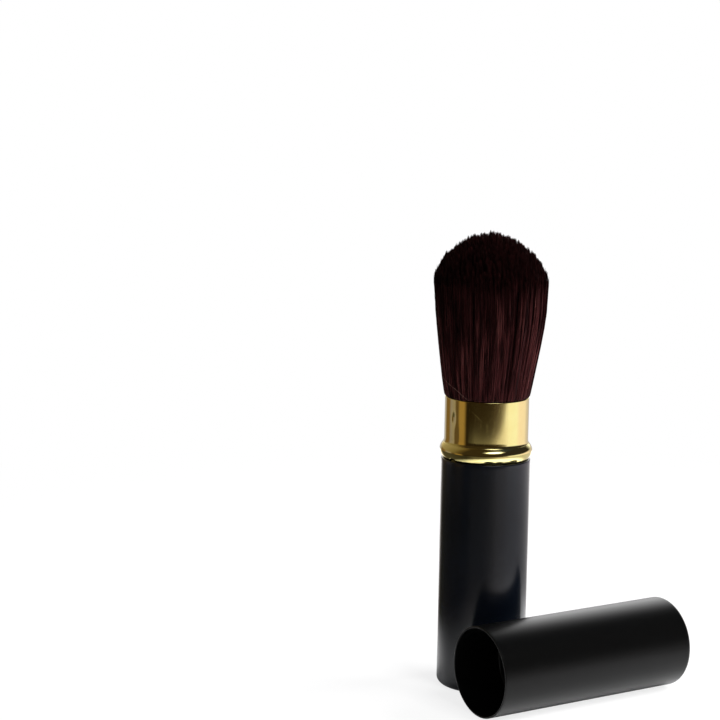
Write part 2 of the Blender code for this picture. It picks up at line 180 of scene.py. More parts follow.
class BrushHairSettings(bpy.types.PropertyGroup):
    """The bundle of natural hair."""

    strands: count("Strands", "Number of hairs in the bundle", 30000)
    tufts: count("Tufts", "Number of tufts that the hairs lean together in", 620)
    locks: count("Locks", "Number of sectors that the bundle is made in", 24)
    width: length("Hair width", "Thickness of one hair at its root", 0.17)
    dome_height: length("Dome height", "Height of the round part of the clipped dome", 9.0)
    shoulder_height: length("Shoulder height", "Height of the steep outer edge below the dome", 2.2)
    tuft_depth: length("Tuft depth", "How far the tips at the edge of a tuft lie below its middle", 0.7)
    squeezed: share("Squeezed", "Share of its thickness that the hair keeps when it is drawn in", 0.5)
    seed: count("Seed", "Seed of the random draws", 7)


class BrushStageSettings(bpy.types.PropertyGroup):
    """The floor, the light around it and the camera."""

    camera_place: bpy.props.FloatVectorProperty(
        name="Camera place",
        description="Where the camera stands",
        default=(-0.27735, -0.39931, 0.15713),
        subtype="TRANSLATION",
        unit="LENGTH",
    )
    camera_turn: angle("Camera turn", "Turn of the camera from world Y towards world X", 31.077)
    camera_pitch: angle("Camera pitch", "How far the camera looks down", 8.877)
    camera_roll: angle("Camera roll", "Roll of the camera about its line of sight", 0.847)
    lens: bpy.props.FloatProperty(name="Lens", description="Focal length in mm", default=100.0, unit="CAMERA")
    floor_radius: length("Floor radius", "Radius of the floor", 430)
    floor_sides: count("Floor sides", "Straight sides of the round floor", 96)
    daylight: share("Daylight", "Strength of the even light from all around", 0.42)
    window: bpy.props.FloatProperty(
        name="Window", description="Strength of the window that the gold shows", default=3.5, min=0.0
    )


def live(sockets, name=None):
    """The first socket that the node's settings leave in use, or the first of those with this name."""
    return next(socket for socket in sockets if socket.enabled and name in (None, socket.name))


def feed(tree, node, inputs):
    """Fills a node's sockets. Inputs maps their names to what they take, or lists it in their order.

    A socket takes a value, an sRGB code, or the socket or node that feeds it. Of a node that is its first
    live output.
    """
    named = isinstance(inputs, dict)
    for key, value in inputs.items() if named else enumerate(inputs):
        socket = live(node.inputs, key) if named else node.inputs[key]
        if isinstance(value, bpy.types.Node):
            value = live(value.outputs)
        if isinstance(value, bpy.types.NodeSocket):
            tree.links.new(value, socket)
        else:
            socket.default_value = linear(value) if isinstance(value, str) else value


def add(tree, kind, inputs=(), stops=(), **settings):
    """A new shader node with its own settings, and with its inputs as feed takes them.

    Kind is the node's type without ShaderNode. Stops are the places of a colour ramp, each with an sRGB code,
    a colour or a brightness.
    """
    made = tree.nodes.new("ShaderNode" + kind)
    for name, value in settings.items():
        setattr(made, name, value)
    feed(tree, made, inputs)
    if stops:
        elements = made.color_ramp.elements
        while len(elements) < len(stops):
            elements.new(1.0)
        for element, (place, value) in zip(elements, stops):
            value = linear(value) if isinstance(value, str) else value
            element.position = place
            element.color = value if isinstance(value, tuple) else (value, value, value, 1.0)
    return made


def material(name, values):
    """A new material, its node tree and its Principled shader, which has these values."""
    made = bpy.data.materials.new(name)
    made.use_nodes = True
    shader = made.node_tree.nodes["Principled BSDF"]
    feed(made.node_tree, shader, values)
    return made, made.node_tree, shader


def scaled(base, factors):
    """A colour times one factor, or times one for each of its three channels."""
    return tuple(np.append(np.array(base)[:3] * factors, 1.0))


def clouded(tree, shader, place, patch, low, high, detail=2.0, reach=0.2):
    """Colours a shader by noise with patches of this size, in the units of its place, from low to high.

    The colours meet where the noise is within the reach of its middle, 0.5. Gives the noise.
    """
    noise = add(tree, "TexNoise", {"Vector": place, "Scale": 1 / patch, "Detail": detail})
    tint = add(tree, "ValToRGB", (noise,), stops=((0.5 - reach, low), (0.5 + reach, high)))
    feed(tree, shader, {"Base Color": tint})
    return noise


def grained(tree, shader, place, grain_mm, strength):
    """Gives a shader a bump of grains of this size, 0.02 mm high at full strength."""
    grain = add(tree, "TexNoise", {"Vector": place, "Scale": 1 / (grain_mm * MM), "Detail": 2.0})
    bump = add(tree, "Bump", {"Height": grain, "Strength": strength, "Distance": 0.02 * MM})
    feed(tree, shader, {"Normal": bump})


def black_anodised(settings):
    """Satin black anodised aluminium.

    The drawn cup is etched and dyed, so it has an even dark layer with a soft sheen, a fine grain of
    0.15 mm that is drawn coarser than the real etch so that it shows, and handling marks 11 to 17 mm apart.
    """
    rough = settings.roughness
    made, tree, shader = material("black_anodised_aluminium", {"Roughness": rough, "IOR": 1.47})
    place = add(tree, "TexCoord").outputs["Object"]
    marks = add(tree, "TexNoise", {"Vector": place, "Scale": 1 / (11.11 * MM), "Detail": 3.0})
    feed(tree, shader, {"Roughness": add(tree, "MapRange", (marks, 0.3, 0.7, rough - 0.035, rough + 0.05))})
    clouded(tree, shader, place, 16.67 * MM, scaled(settings.dye, 0.8), scaled(settings.dye, 1.25))
    grained(tree, shader, place, 0.15, 0.05)
    return made


def gold_anodised(settings, radius, profile):
    """Gold anodised aluminium, buffed to a near mirror.

    The map's u runs round the piece and v along its profile, and both are turned to mm here, so the scratches
    that the cap leaves run lengthwise. They are drawn 0.1 mm wide so that they show.
    """
    long = np.linalg.norm(np.diff(profile, axis=0), axis=1).sum()
    rough, gold = settings.roughness, settings.gold
    made, tree, shader = material("gold_anodised_aluminium", {"Roughness": rough, "Metallic": 1.0})
    flat = add(tree, "UVMap", uv_map=SURFACE_MAP)
    place = add(tree, "Mapping", {"Vector": flat, "Scale": (2 * math.pi * radius / MM, long / MM, 1.0)})
    clouded(tree, shader, place, 2.857, scaled(gold, (0.98, 0.96, 0.92)), scaled(gold, 1.0))
    # Hairline scratches: noise stretched thirty or forty to one, of which only the crests count
    lengthwise = add(tree, "Mapping", {"Vector": place, "Scale": (9.0, 0.22, 1.0)})
    slant = {"Vector": place, "Scale": (9.0, 0.3, 1.0), "Rotation": (0.0, 0.0, math.radians(40))}
    slanted = add(tree, "Mapping", slant, vector_type="TEXTURE")
    crests = []
    for way, lowest in ((lengthwise, 0.66), (slanted, 0.7)):
        noise = add(tree, "TexNoise", {"Vector": way, "Scale": 1.0, "Detail": 1.0})
        crests.append(add(tree, "MapRange", (noise, lowest, lowest + 0.08)))
    scratches = add(tree, "Math", crests, operation="MAXIMUM")
    scuffed = add(tree, "MapRange", {"Value": scratches, "To Min": rough, "To Max": rough + 0.12})
    bump = add(tree, "Bump", {"Height": scratches, "Strength": 0.12, "Distance": 0.01 * MM}, invert=True)
    feed(tree, shader, {"Roughness": scuffed, "Normal": bump})
    return made


def natural_hair():
    """Dark brown natural hair, clipped, and coloured by a dye.

    The map's u is the tuft that a hair belongs to, and v runs from its root to its tip. Along the hairs of
    one tuft the tone comes and goes between near black and a reddish brown every 10 mm or so: partly the
    hair's own tone, and partly a painted sheen where the hairs turn. Along its length a hair carries painted
    shade: dark at the root inside the neck, brightest just above the neck's edge, and darker up the bundle
    to the darkest just under the tip, where the packed tips of the dome shade each other. The cut end is
    lighter again, a painted highlight on the lit tips. The root has taken no dye.
    """
    made, tree, shader = material(
        "dark_brown_hair",
        {"Roughness": 0.5, "IOR": 1.55, "Specular IOR Level": 0.1, "Specular Tint": "F0B8A8"},
    )
    flat = add(tree, "UVMap", uv_map=SURFACE_MAP)
    streaks = []
    for waves, detail in (((52.0, 3.2, 1.0), 1.0), ((300.0, 2.0, 1.0), 0.0)):
        way = add(tree, "Mapping", {"Vector": flat, "Scale": waves})
        streaks.append(add(tree, "TexNoise", {"Vector": way, "Scale": 1.0, "Detail": detail}))
    both = add(tree, "Mix", {"Factor": 0.42, "A": streaks[0], "B": streaks[1]})
    # The hair's own tones, near black to reddish brown; the lighter stops also stand for a painted sheen where
    # the hairs turn
    tone_and_sheen_stops = ((0.32, "070304"), (0.43, "17080A"), (0.52, "2C1012"), (0.6, "472021"), (0.7, "70413E"))
    # Painted shade from root (0) to tip (1), darkest where the packed dome tips shade each other; painted
    # highlight at the cut end
    along = ((0.0, 0.2), (0.24, 0.8), (0.3, 0.86), (0.5, 0.78), (0.66, 0.68), (0.8, 0.54), (0.9, 0.44))
    along += ((0.95, 0.34), (0.965, 0.24), (0.98, 0.1), (0.992, 0.06), (1.0, 0.3))
    undyed = ((0.0, "80665C"), (0.01, "80665C"), (0.014, 0.0))
    height = add(tree, "SeparateXYZ", (flat,)).outputs["Y"]
    tone = add(tree, "ValToRGB", (both,), stops=tone_and_sheen_stops)
    shade = add(tree, "ValToRGB", (height,), stops=along)
    root = add(tree, "ValToRGB", (height,), stops=undyed)
    # The tone times the painted shade along the hair
    tone_times_painted_shade = {"Factor": 1.0, "A": tone, "B": shade}
    tone_times_painted_shade = add(tree, "Mix", tone_times_painted_shade, data_type="RGBA", blend_type="MULTIPLY")
    whole = {"Factor": 1.0, "A": tone_times_painted_shade, "B": root}
    feed(tree, shader, {"Base Color": add(tree, "Mix", whole, data_type="RGBA", blend_type="ADD")})
    return made


def packed_hair():
    """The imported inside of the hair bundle, too dense for light to enter, so it is matt and almost black."""
    made, tree, shader = material("packed_hair", {"Roughness": 0.95, "Specular IOR Level": 0.0})
    flat = add(tree, "UVMap", uv_map=SURFACE_MAP)
    clouded(tree, shader, flat, 0.025, "050203", "0E0607")
    return made


def moulded(name, code, roughness, grit_mm, ior=1.5):
    """An injection moulded plastic or rubber: an even colour, with the grit of the tool's eroded surface."""
    made, tree, shader = material(name, {"Roughness": roughness, "IOR": ior})
    place = add(tree, "TexCoord").outputs["Object"]
    clouded(tree, shader, place, 6.667 * MM, scaled(linear(code), 0.9), code)
    grained(tree, shader, place, grit_mm, 0.2)
    return made


def plain_metal(name, code, roughness, stretch):
    """A bare metal, with the marks of how it was made: lengthwise on a drawn tube, flecked on a plating."""
    made, tree, shader = material(name, {"Roughness": roughness, "Metallic": 1.0})
    place = add(tree, "TexCoord").outputs["Object"]
    fitted = add(tree, "Mapping", {"Vector": place, "Scale": stretch})
    marks = clouded(tree, shader, fitted, 0.3333 * MM, scaled(linear(code), 0.8), code, detail=3.0)
    rough = {"Value": marks, "To Min": roughness - 0.1, "To Max": roughness + 0.15}
    feed(tree, shader, {"Roughness": add(tree, "MapRange", rough)})
    return made


def cast_epoxy():
    """Amber epoxy that was poured over the hair roots: clear and glossy, with darker soaked patches."""
    made, tree, shader = material("amber_epoxy", {"Roughness": 0.15, "IOR": 1.55})
    place = add(tree, "TexCoord").outputs["Object"]
    clouded(tree, shader, place, 2 * MM, "4A2A08", "B07A2C", detail=3.0, reach=0.15)
    return made


def mesh_object(name, points, faces, corners):
    """An object at the origin, from its points, arrays of faces and each face corner's place on the map."""
    sizes = np.concatenate([np.full(len(part), part.shape[1]) for part in faces])
    loops = np.concatenate([part.ravel() for part in faces])
    mesh = bpy.data.meshes.new(name)
    mesh.vertices.add(len(points))
    mesh.vertices.foreach_set("co", points.astype(np.float32).ravel())
    mesh.loops.add(len(loops))
    mesh.loops.foreach_set("vertex_index", loops.astype(np.int32))
    mesh.polygons.add(len(sizes))
    mesh.polygons.foreach_set("loop_start", (np.cumsum(sizes) - sizes).astype(np.int32))
    mesh.update(calc_edges=True)
    layer = mesh.uv_layers.new(name=SURFACE_MAP)
    layer.uv.foreach_set("vector", corners.astype(np.float32).ravel())
    mesh.shade_smooth()
    made = bpy.data.objects.new(name, mesh)
    bpy.context.scene.collection.objects.link(made)
    return made


def arc(centre, radius, start, end, steps):
    """Points of an arc: its centre plus the radius times the cosine and sine of even angles, in degrees."""
    turn = np.radians(np.linspace(start, end, steps))
    return np.array(centre) + radius * np.column_stack((np.cos(turn), np.sin(turn)))


def straight(start, end, steps=2):
    """Inner points of a straight run: even ones, with one close to each end so that it shades flat."""
    places = np.concatenate(((0.015,), np.linspace(0.03, 0.97, steps), (0.985,)))
    return np.array(start) + np.outer(places, np.array(end) - np.array(start))


def turned(name, profile, sides, place=None, change=None):
    """A surface of revolution, closed at its poles or round its profile, with its place in its mesh.

    Point (i, j) is point j of the profile, a radius and a height, turned by i / sides of a circle: x is the
    radius times the cosine, y the radius times the sine and z the height. The profile runs up its inner
    side and down its outer side. Change may move the radii and heights, which come as grids with the turn.
    The map holds the turn as u and the share of the way along the profile as v.
    """
    profile = np.array(profile)
    poles = profile[0, 0] == 0.0
    way = np.concatenate(((0.0,), np.cumsum(np.linalg.norm(np.diff(profile, axis=0), axis=1))))
    loop_end = way[-1] if poles else way[-1] + np.linalg.norm(profile[-1] - profile[0])
    way = np.append(way, loop_end) / loop_end
    rings = profile[1:-1] if poles else profile
    turn = np.arange(sides) * 2 * math.pi / sides
    radii = np.repeat(rings[None, :, 0], sides, axis=0)
    heights = np.repeat(rings[None, :, 1], sides, axis=0)
    if change:
        radii, heights = change(radii, heights, turn[:, None])
    points = np.stack(
        (radii * np.cos(turn)[:, None], radii * np.sin(turn)[:, None], heights), axis=-1
    ).reshape(-1, 3)

    total = len(rings)
    i, j = np.meshgrid(np.arange(sides), np.arange(total - 1 if poles else total), indexing="ij")
    after, below = (i + 1) % sides, (j + 1) % total
    quads = np.stack(
        (i * total + j, i * total + below, after * total + below, after * total + j), axis=-1
    ).reshape(-1, 4)
    first = 1 if poles else 0
    u = np.stack((i, i, i + 1, i + 1), axis=-1) / sides
    v = np.stack((way[j + first], way[j + 1 + first], way[j + 1 + first], way[j + first]), axis=-1)
    faces = [quads]
    corners = [np.stack((u, v), axis=-1).reshape(-1, 2)]
    if poles:
        points = np.vstack((points, (0, 0, profile[0, 1]), (0, 0, profile[-1, 1])))
        side, pole = np.arange(sides), np.full(sides, len(points) - 2)
        near, far = side * total, (side + 1) % sides * total
        first_fan = ((pole, near, far), (side + 0.5, side, side + 1), (0, 1, 1))
        last_fan = ((near + total - 1, pole + 1, far + total - 1), (side, side + 0.5, side + 1), (-3, -2, -3))
        for fan, spots, ends in (first_fan, last_fan):
            faces.append(np.stack(fan, axis=-1))
            spots = np.stack(spots, axis=-1) / sides
            ends = np.broadcast_to(way[list(ends)], spots.shape)
            corners.append(np.stack((spots, ends), axis=-1).reshape(-1, 2))
    made = mesh_object(name, points, faces, np.concatenate(corners))
    if place is not None:
        made.data.transform(place)
    return made


def fit(piece, body, finish, node):
    """Gives a new piece its body, its finish and the node that it stands for."""
    piece.data.materials.append(finish)
    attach(piece, body)
    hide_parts(node)


def bump_at(turn, height, at_turn, at_height, round_reach, high_reach):
    """A round hump of height 1: e to the minus square of the distance, in reaches round and along."""
    across = np.angle(np.exp(1j * (turn - at_turn)))
    return np.exp(-((across / round_reach) ** 2) - ((height - at_height) / high_reach) ** 2)


class BRUSH_OT_body(bpy.types.Operator):
    """Build the black body, a drawn cup with a flat foot"""

    bl_idname = "makeup_brush.body"
    bl_label = "Body shell"

    def execute(self, context):
        settings = context.scene.brush_shells
        outer, inner = BODY_RADIUS, BODY_RADIUS - settings.body_wall
        foot = (outer - settings.foot_round, settings.foot_round)
        hollow = settings.foot_round - settings.body_wall
        rim = (outer - settings.edge_round, BODY_TOP - settings.edge_round)
        lip = (inner + settings.rim_round, BODY_TOP - settings.rim_round)
        flat = foot[0]
        profile = [
            [(0, settings.body_wall)],
            straight((0, settings.body_wall), (flat, settings.body_wall)),
            arc(foot, hollow, -90, 0, 14),
            straight((inner, foot[1]), (inner, lip[1]), 8),
            arc(lip, settings.rim_round, 180, 90, 6),
            arc(rim, settings.edge_round, 90, 0, 9),
            straight((outer, rim[1]), (outer, foot[1]), 24),
            arc(foot, settings.foot_round, 0, -90, 18),
            straight((flat, 0), (0, 0)),
            [(0, 0)],
        ]
        piece = turned("body_shell", np.vstack(profile), settings.sides)
        fit(piece, "base", black_anodised(settings), "base_shell")
        return {"FINISHED"}


def swell(settings, heights):
    """How far the neck's foot and the ring's upper half stand out from the neck at these heights.

    On the way down from the start of the swelling to the ring's widest place, the slope grows with the cube
    of the way up to its steepest place, and then falls evenly to 0.
    """
    steepest, power = 0.52, 3.0
    start, end = RING_TOP + settings.swell_height, RING_BOTTOM + settings.bead_middle
    way = np.clip((start - heights) / (start - end), 0, 1)
    first = steepest / (power + 1)
    grown = first * np.minimum(way / steepest, 1) ** (power + 1)
    last = 1 - steepest
    grown = grown + (last**2 - (1 - np.maximum(way, steepest)) ** 2) / (2 * last)
    return (RING_RADIUS - NECK_RADIUS) * grown / (first + last / 2)


class BRUSH_OT_neck(bpy.types.Operator):
    """Build the gold neck with its small dent"""

    bl_idname = "makeup_brush.neck"
    bl_label = "Gold neck"

    def execute(self, context):
        settings = context.scene.brush_neck
        outer, inner = NECK_RADIUS, NECK_RADIUS - settings.wall
        rim = (outer - settings.rim_round, NECK_TOP - settings.rim_round)
        lip = (inner + settings.rim_round, rim[1])
        profile = np.vstack(
            [
                [(inner, NECK_BOTTOM)],
                straight((inner, NECK_BOTTOM), (inner, lip[1]), 10),
                arc(lip, settings.rim_round, 180, 90, 6),
                arc(rim, settings.rim_round, 90, 0, 7),
                straight((outer, rim[1]), (outer, NECK_BOTTOM), 90),
                [(outer, NECK_BOTTOM)],
            ]
        )

        def dented(radii, heights, turn):
            """Moves the wall in by the dent's depth times a hump, and by a long shallow ripple below it.

            The whole wall is also uneven by a sine of the turn times a sine of the height.
            """
            middle = FRONT_ANGLE - math.radians(51)
            dent = bump_at(turn, heights, middle, NECK_TOP - 4.7 * MM, 0.05, 1.3 * MM)
            ripple = bump_at(turn, heights, middle + 0.12, NECK_TOP - 8.6 * MM, 0.06, 2.2 * MM)
            moved = settings.dent_depth * (dent + 0.28 * ripple)
            uneven = 0.006 * MM * np.sin(3 * turn + 1.0) * np.sin(heights / (2.3 * MM))
            foot = swell(settings, heights) * (heights > RING_TOP - 0.1 * MM)
            return radii - moved + uneven + foot, heights

        piece = turned("neck_tube", profile, settings.sides, change=dented)
        finish = gold_anodised(settings, NECK_RADIUS, profile)
        fit(piece, "neck", finish, "neck_sleeve")
        return {"FINISHED"}


class BRUSH_OT_ring(bpy.types.Operator):
    """Build the gold ring, a full bead that the neck swells into, with a worn lower edge"""

    bl_idname = "makeup_brush.ring"
    bl_label = "Gold ring"

    def execute(self, context):
        settings = context.scene.brush_neck
        # The hole is a little wider than the neck, and its part below the neck is narrower
        inner, stop = NECK_RADIUS + 0.06 * MM, NECK_RADIUS - 0.14 * MM
        ledge, foot = NECK_BOTTOM - 0.1 * MM, BODY_TOP - 0.3 * MM
        middle = RING_BOTTOM + settings.bead_middle
        lower = settings.bead_middle + settings.ring_lap
        proud = RING_RADIUS - inner
        heights = np.linspace(RING_TOP, middle, 40)
        bulge = np.column_stack((NECK_RADIUS + swell(settings, heights) + 0.012 * MM, heights))
        bulge[-1, 0] = RING_RADIUS
        turn = np.radians(np.linspace(0, 90, 24))
        power = 2 / settings.bead_power
        slope = (inner + proud * np.cos(turn).clip(0) ** power, middle - lower * np.sin(turn) ** power)
        slope = np.column_stack(slope)[1:]
        profile = np.vstack(
            [
                [(stop, foot)],
                straight((stop, foot), (stop, ledge)),
                straight((inner, ledge), (inner, RING_TOP - 0.05 * MM), 4),
                [(NECK_RADIUS + swell(settings, RING_TOP) - 0.02 * MM, RING_TOP)],
                bulge,
                slope,
                [(inner, foot)],
            ]
        )

        def worn(radii, heights, turn):
            """Lifts the lowest part of the bead by the nick's depth times the sum of a few humps."""
            # Each in degrees to the right of the camera, its reach in radians and its share of the depth
            nicks = ((-49, 0.075, 1.3), (4, 0.09, 0.5), (18, 0.07, 0.7), (38, 0.09, 0.6), (150, 0.2, 0.5))
            lift = 0
            for at, reach, size in nicks:
                across = np.angle(np.exp(1j * (turn - FRONT_ANGLE - math.radians(at))))
                lift = lift + size * np.exp(-((across / reach) ** 4))
            low = np.clip((middle - heights) / lower, 0, 1) ** 3 * (radii > inner + 0.02 * MM)
            return radii, heights + settings.nick_depth * lift * low

        piece = turned("collar_bead", profile, settings.sides, change=worn)
        finish = gold_anodised(settings, RING_RADIUS, profile)
        fit(piece, "neck", finish, "collar_ring")
        return {"FINISHED"}


class BRUSH_OT_cap(bpy.types.Operator):
    """Build the black cap with its domed end, and the plastic cup inside it"""

    bl_idname = "makeup_brush.cap"
    bl_label = "Cap and liner"

    def execute(self, context):
        settings = context.scene.brush_shells
        outer, inner = CAP_RADIUS, CAP_RADIUS - settings.cap_wall
        edge, rim = settings.cap_edge_round, settings.rim_round
        sphere = (CAP_RADIUS**2 + settings.cap_dome**2) / (2 * settings.cap_dome)
        centre = CAP_END - CAP_MOUTH - sphere
        corner = (outer - edge, centre + math.sqrt((sphere - edge) ** 2 - (outer - edge) ** 2))
        meet = math.degrees(math.acos(corner[0] / (sphere - edge)))
        hollow = edge - settings.cap_wall
        profile = [
            arc((0, centre), sphere - settings.cap_wall, 90, meet, 30),
            arc(corner, hollow, meet, 0, 10)[1:],
            straight((inner, corner[1]), (inner, rim), 20),
            arc((inner + rim, rim), rim, 180, 270, 6),
            arc((outer - rim, rim), rim, 270, 360, 6),
            straight((outer, rim), (outer, corner[1]), 24),
            arc(corner, edge, 0, meet, 12),
            arc((0, centre), sphere, meet, 90, 34)[1:],
        ]
        profile = np.vstack(profile)[::-1]
        profile[0, 0] = 0.0
        profile[-1, 0] = 0.0
        shell = turned("cap_tube", profile, settings.sides, CAP_PLACE)
        finish = bpy.data.materials.get("black_anodised_aluminium") or black_anodised(settings)
        fit(shell, "cap", finish, "cap_shell")

        start, end = LINER_MOUTH - CAP_MOUTH, LINER_END - CAP_MOUTH
        outer, inner = LINER_RADIUS, LINER_RADIUS - settings.liner_wall
        lip = settings.liner_wall / 2
        profile = [
            [(0, end), (outer - lip, end)],
            arc((outer - lip, end - lip), lip, 90, 0, 8),
            straight((outer, end - lip), (outer, start + lip), 8),
            arc((outer - lip, start + lip), lip, 0, -180, 14),
            straight((inner, start + lip), (inner, end - settings.liner_wall - lip), 8),
            arc((inner - lip, end - settings.liner_wall - lip), lip, 0, 90, 8),
            [(0, end - settings.liner_wall)],
        ]
        liner = turned("cap_cup", np.vstack(profile), settings.sides // 2, CAP_PLACE)
        fit(liner, "cap", moulded("black_abs_cup", "060607", 0.7, 0.2), "cap_liner")
        return {"FINISHED"}


def bundle_radius(heights):
    """Radius of the hair bundle at these heights, along straight lines between the places of HAIR_OUTLINE."""
    return np.interp((heights - NECK_TOP) / MM, HAIR_OUTLINE[:, 0], HAIR_OUTLINE[:, 1]) * MM


def dome_drop(settings, reach):
    """How far the clipped dome lies below its top, at this share of its radius.

    It is the dome's height times the square of the share, plus the shoulder's height times its eighth power.
    """
    return settings.dome_height * reach**2 + settings.shoulder_height * reach**8


def spread(draw, number):
    """Random places as complex numbers, normally spread about 0."""
    return draw.normal(size=number) + 1j * draw.normal(size=number)


def hair_strands(settings, draw):
    """All hairs as centre lines, half widths, places on the map's u, and shares of their own length.

    Tuft k of n stands at the share (k / n) to the 0.45 of the bundle's radius, one golden angle on from the
    last. The hairs of a tuft fill a disc round it, wide at the root and narrow at the tip. A tip lies on the
    dome, lowered by the tuft's depth times the square of its share of that disc. Hairs of the outermost
    share run from the ferrule to the dome, and the others only through the dome, because the rest of them
    doesn't show.
    """
    total, tufts = settings.strands, settings.tufts
    tuft = np.arange(total) % tufts
    distance = ((np.arange(tufts) + 0.5) / tufts) ** 0.45
    golden = math.pi * (3 - math.sqrt(5))
    middle = 0.985 * distance * np.exp(1j * np.arange(tufts) * golden) + 0.011 * spread(draw, tufts)
    cell = 1 / math.sqrt(tufts)
    apart = np.sqrt(draw.random(total)) * np.exp(2j * math.pi * draw.random(total))
    end = middle[tuft] + 0.6 * cell * apart
    root = middle[tuft] + 1.5 * cell * apart + 0.016 * spread(draw, total)
    root, end = (place * np.minimum(1, 0.998 / np.abs(place)) for place in (root, end))

    # Tips: a tuft's are up to a few tenths of a mm off the dome together, and some hairs end early below it
    early_share, early_depth, top_tip = 0.16, 14 * MM, HAIR_TIP + 0.3 * MM
    tip = HAIR_TIP - 0.15 * MM - dome_drop(settings, np.abs(end)) - settings.tuft_depth * np.abs(apart) ** 2
    tip = tip + (0.3 * draw.normal(size=tufts)[tuft] + 0.07 * draw.normal(size=total)) * MM
    early = draw.random(total) < early_share
    tip = np.where(early, tip - early_depth * draw.random(total) ** 2, tip)
    tip = np.minimum(tip, top_tip)

    # A hair's tone and sway, mostly its tuft's, and whether it shows on the bundle's side
    tone = (draw.random(tufts)[tuft] + 0.012 * draw.normal(size=total)).clip(0, 1)
    sway = 0.13 * draw.normal(size=tufts)[tuft] + 0.15 * draw.normal(size=total)
    full = np.abs(root) > 0.89
    hairs = (root, end, tip, tone, sway, early)
    return [
        strand_lines(settings, draw, long, *(values[part] for values in hairs))
        for part, long in ((full, True), (~full, False))
    ]


def strand_lines(settings, draw, long, root, end, tip, tone, sway, early):
    """Centre lines of some hairs: long ones from the ferrule, short ones from inside the dome.

    A hair's share of the bundle's radius goes from its root's to its end's. To this comes a wave round the
    bundle, as high as its sway, and for one hair in fifty a slant and a lift off the others. The tip of a
    hair that ends early stands out a little.
    """
    number = len(root)
    if long:
        rim = NECK_TOP + np.array((-2.0, -0.25, 0.02, 0.15, 0.45, 1.2)) * MM
        foot = np.array((HAIR_ROOT + 0.6 * MM, *rim))
        rise = np.array((0.12, 0.26, 0.42, 0.58, 0.72, 0.84, 0.93, 1.0))
        heights = np.hstack((np.tile(foot, (number, 1)), foot[-1] + np.outer(tip - foot[-1], rise)))
    else:
        heights = tip[:, None] - 7 * MM * (1 - np.array((0.0, 0.4, 0.75, 1.0)))
    way = (heights - HAIR_ROOT) / (tip - HAIR_ROOT)[:, None]
    lean = np.clip((heights - NECK_TOP) / (tip - NECK_TOP)[:, None], 0, 1)
    place = root[:, None] + (end - root)[:, None] * lean**0.8
    outward = place / np.abs(place)
    place = place * bundle_radius(heights)
    phase = draw.random((number, 3))
    wave = np.sin(2 * math.pi * (phase[:, :1] + (0.6 + 0.8 * phase[:, 1:2]) * lean))
    wave = wave * sway[:, None] * np.sqrt(4 * lean * (1 - lean))
    loose = draw.random(number) < 0.02
    slant = (loose * draw.normal(size=number).clip(-1.5, 1.5))[:, None] * (lean - 0.4)
    lift = (loose * draw.random(number))[:, None] * 0.4 * lean**2 - 0.25 * np.abs(wave)
    lift = lift + 0.3 * (early * draw.random(number))[:, None] * lean**6
    place = place + outward * (lift + 1j * (wave + slant)) * MM + belly_lean(heights)
    lines = np.stack((place.real, place.imag, heights), axis=-1)
    half = settings.width / 2 * (1 - 0.75 * way**12) * draw.uniform(0.75, 1.2, number)[:, None]
    return lines, half, tone, way, 2 * math.pi * phase[:, 2]


def loose_hair(settings, rings):
    """One fine hair that came loose and crosses the bundle from its left side down to the neck's upper edge.

    Its place on the map is that of the roots, so it is light.
    """
    way = np.linspace(0, 1, rings)
    stops = (0, 0.2, 0.55, 1)
    at = FRONT_ANGLE + np.radians(np.interp(way, stops, (-78, -68, -44, -24)))
    heights = NECK_TOP + np.interp(way, stops, (5.4, 4.6, 2.8, 0.2)) * MM
    place = (bundle_radius(heights) + 0.1 * MM) * np.exp(1j * at) + belly_lean(heights)
    lines = np.stack((place.real, place.imag, heights), axis=-1)[None]
    half = np.full((1, rings), 0.3 * settings.width)
    return lines, half, np.array((0.5,)), 0.008 * way[None], np.zeros(1)


def belly_lean(heights):
    """How far the bundle's middle lies to the side at a height: a sine squared from the rim to the tip."""
    risen = np.clip((heights - NECK_TOP) / (HAIR_TIP - NECK_TOP), 0, 1)
    side = np.exp(1j * (FRONT_ANGLE + math.pi / 2))
    return 0.4 * MM * np.sin(math.pi * risen) ** 2 * side


def tube_faces(rings, sides):
    """The faces of a tube, as numbers of its points and as places round and along it, in sides and rings."""
    ring, side = np.meshgrid(np.arange(rings - 1), np.arange(sides), indexing="ij")
    here, beside = ring * sides + side, ring * sides + (side + 1) % sides
    faces = np.stack((here, beside, beside + sides, here + sides), axis=-1)
    across = np.stack((side, side + 1, side + 1, side), axis=-1)
    along = np.stack((ring, ring, ring + 1, ring + 1), axis=-1)
    return faces, across, along


def strand_mesh(lines, half, tone, way, phase):
    """Three-sided tubes along centre lines, with their faces and their corners on the map.

    Corner s of ring k is the centre plus the half width times the cosine and sine of the phase plus s thirds
    of a circle. Each tube is closed by a triangle at either end.
    """
    total, rings = half.shape
    turn = phase[:, None] + np.arange(3) * 2 * math.pi / 3
    out = np.stack((np.cos(turn), np.sin(turn), np.zeros_like(turn)), axis=-1)
    points = lines[:, :, None, :] + half[:, :, None, None] * out[:, None, :, :]
    first = np.arange(total)[:, None, None] * rings * 3
    faces, across, along = tube_faces(rings, 3)
    quads = (first[..., None] + faces).reshape(-1, 4)
    caps = np.array(((2, 1, 0), (rings * 3 - 3, rings * 3 - 2, rings * 3 - 1)))
    caps = (first + caps).reshape(-1, 3)

    column = 0.01 + 0.98 * tone
    u = column[:, None, None, None] + 0.012 * (across / 3 - 0.5)
    sides = np.stack((u, way[:, along]), axis=-1).reshape(-1, 2)
    ends_u = column[:, None, None] + 0.006 * np.array((-1, 0, 1))
    ends_u = np.broadcast_to(ends_u, (total, 2, 3))
    ends_v = way[:, (0, -1), None] + 0.004 * np.array((-1, 1, -1))
    ends = np.stack((ends_u, ends_v), axis=-1).reshape(-1, 2)
    return points.reshape(-1, 3), quads, caps, sides, ends


